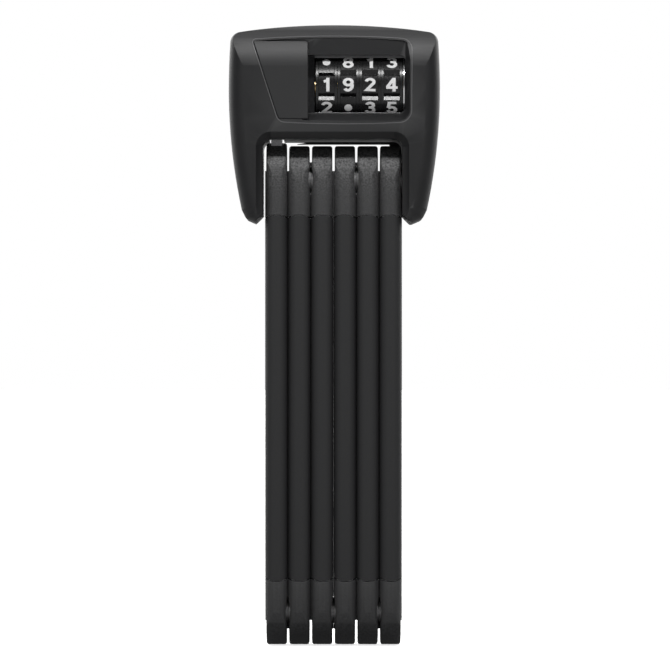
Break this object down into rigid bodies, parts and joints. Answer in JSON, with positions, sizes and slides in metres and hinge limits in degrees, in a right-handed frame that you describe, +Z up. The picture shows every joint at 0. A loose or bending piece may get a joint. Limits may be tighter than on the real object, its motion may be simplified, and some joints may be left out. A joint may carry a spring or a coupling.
{
  "type": "folding bike lock",
  "caption": "Folding bicycle lock of flat riveted steel bars in plastic sheaths, hinged under a rounded head with combination dials and a release slide.",
  "frame": {"origin": "centre of the bounding box's bottom face, below the folded bars", "axes": "+Z up along the folded bars towards the head; the dials face -Y; +X is to the right seen from the dials"},
  "size_m": [0.0646, 0.0344, 0.1911],
  "materials": {
    "core_steel": "hardened flat bar",
    "sheath": "smooth soft sleeve",
    "bar_cap": "fine grain",
    "hub_ring": "turned face",
    "rivet_steel": "black",
    "dial_black": "polished",
    "brass_ring": "turned",
    "shell": "satin moulded",
    "back_cover": "satin moulded",
    "bezel": "satin moulded",
    "body_steel": "hardened block",
    "screw_steel": "black oxide",
    "polished_steel": "polished",
    "spring_steel": "rolled strip",
    "panel_seal": "soft seal",
    "slide_black": "satin moulded",
    "carrier_steel": "stamped",
    "spindle_brass": "turned",
    "bolt_steel": "ground",
    "tongue_steel": "hardened plate"
  },
  "bodies": {
    "head": {"front_shell": "shell", "back_shell": "back_cover", "dial_bezel": "bezel", "panel_seal": "panel_seal", "lock_body": "body_steel", "arm_bush": "hub_ring", "head_rivet": "rivet_steel", "housing_screws": "screw_steel", "end_washer": "polished_steel", "detent_spring": "spring_steel"},
    "slide": {"release_slide": "slide_black", "slide_carrier": "carrier_steel", "code_spindle": "spindle_brass", "lock_bolt": "bolt_steel"},
    "wheel_1": {"dial_wheel_1": "dial_black", "code_ring_1": "brass_ring"},
    "wheel_2": {"dial_wheel_2": "dial_black", "code_ring_2": "brass_ring"},
    "wheel_3": {"dial_wheel_3": "dial_black", "code_ring_3": "brass_ring"},
    "wheel_4": {"dial_wheel_4": "dial_black", "code_ring_4": "brass_ring"},
    "bar_1": {"bar_1_core": "core_steel", "bar_1_sheath": "sheath", "bar_1_top_cap": "bar_cap", "bar_1_bottom_cap": "bar_cap", "bar_1_hubs": "hub_ring", "lock_tongue": "tongue_steel"},
    "bar_2": {"bar_2_core": "core_steel", "bar_2_sheath": "sheath", "bar_2_top_cap": "bar_cap", "bar_2_bottom_cap": "bar_cap", "bar_2_hubs": "hub_ring", "rivet_1_2": "rivet_steel"},
    "bar_3": {"bar_3_core": "core_steel", "bar_3_sheath": "sheath", "bar_3_top_cap": "bar_cap", "bar_3_bottom_cap": "bar_cap", "bar_3_hubs": "hub_ring", "rivet_2_3": "rivet_steel"},
    "bar_4": {"bar_4_core": "core_steel", "bar_4_sheath": "sheath", "bar_4_top_cap": "bar_cap", "bar_4_bottom_cap": "bar_cap", "bar_4_hubs": "hub_ring", "rivet_3_4": "rivet_steel"},
    "bar_5": {"bar_5_core": "core_steel", "bar_5_sheath": "sheath", "bar_5_top_cap": "bar_cap", "bar_5_bottom_cap": "bar_cap", "bar_5_hubs": "hub_ring", "rivet_4_5": "rivet_steel"},
    "bar_6": {"bar_6_core": "core_steel", "bar_6_sheath": "sheath", "bar_6_top_cap": "bar_cap", "bar_6_bottom_cap": "bar_cap", "bar_6_hubs": "hub_ring", "rivet_5_6": "rivet_steel"}
  },
  "joints": [
    {"name": "slide_lock", "type": "slide", "parent": "head", "child": "slide", "axis": [1, 0, 0], "range_m": [0, 0.0035]},
    {"name": "dial_1", "type": "hinge", "parent": "head", "child": "wheel_1", "pos_m": [-0.0024, -0.0029, 0.1718], "axis": [1, 0, 0], "continuous": true},
    {"name": "dial_2", "type": "hinge", "parent": "head", "child": "wheel_2", "pos_m": [0.00425, -0.0029, 0.1718], "axis": [1, 0, 0], "continuous": true},
    {"name": "dial_3", "type": "hinge", "parent": "head", "child": "wheel_3", "pos_m": [0.0109, -0.0029, 0.1718], "axis": [1, 0, 0], "continuous": true},
    {"name": "dial_4", "type": "hinge", "parent": "head", "child": "wheel_4", "pos_m": [0.01755, -0.0029, 0.1718], "axis": [1, 0, 0], "continuous": true},
    {"name": "hinge_head_6", "type": "hinge", "parent": "head", "child": "bar_6", "pos_m": [0.02075, 0, 0.1432], "axis": [-1, 0, 0], "range_deg": [0, 95]},
    {"name": "hinge_6_5", "type": "hinge", "parent": "bar_6", "child": "bar_5", "pos_m": [0.01375, 0, 0.0105], "axis": [-1, 0, 0], "range_deg": [0, 180]},
    {"name": "hinge_5_4", "type": "hinge", "parent": "bar_5", "child": "bar_4", "pos_m": [0.00675, 0, 0.1432], "axis": [-1, 0, 0], "range_deg": [0, 95]},
    {"name": "hinge_4_3", "type": "hinge", "parent": "bar_4", "child": "bar_3", "pos_m": [-0.00025, 0, 0.0105], "axis": [-1, 0, 0], "range_deg": [0, 180]},
    {"name": "hinge_3_2", "type": "hinge", "parent": "bar_3", "child": "bar_2", "pos_m": [-0.00725, 0, 0.1432], "axis": [-1, 0, 0], "range_deg": [0, 95]},
    {"name": "hinge_2_1", "type": "hinge", "parent": "bar_2", "child": "bar_1", "pos_m": [-0.01425, 0, 0.0105], "axis": [-1, 0, 0], "range_deg": [0, 180]}
  ]
}
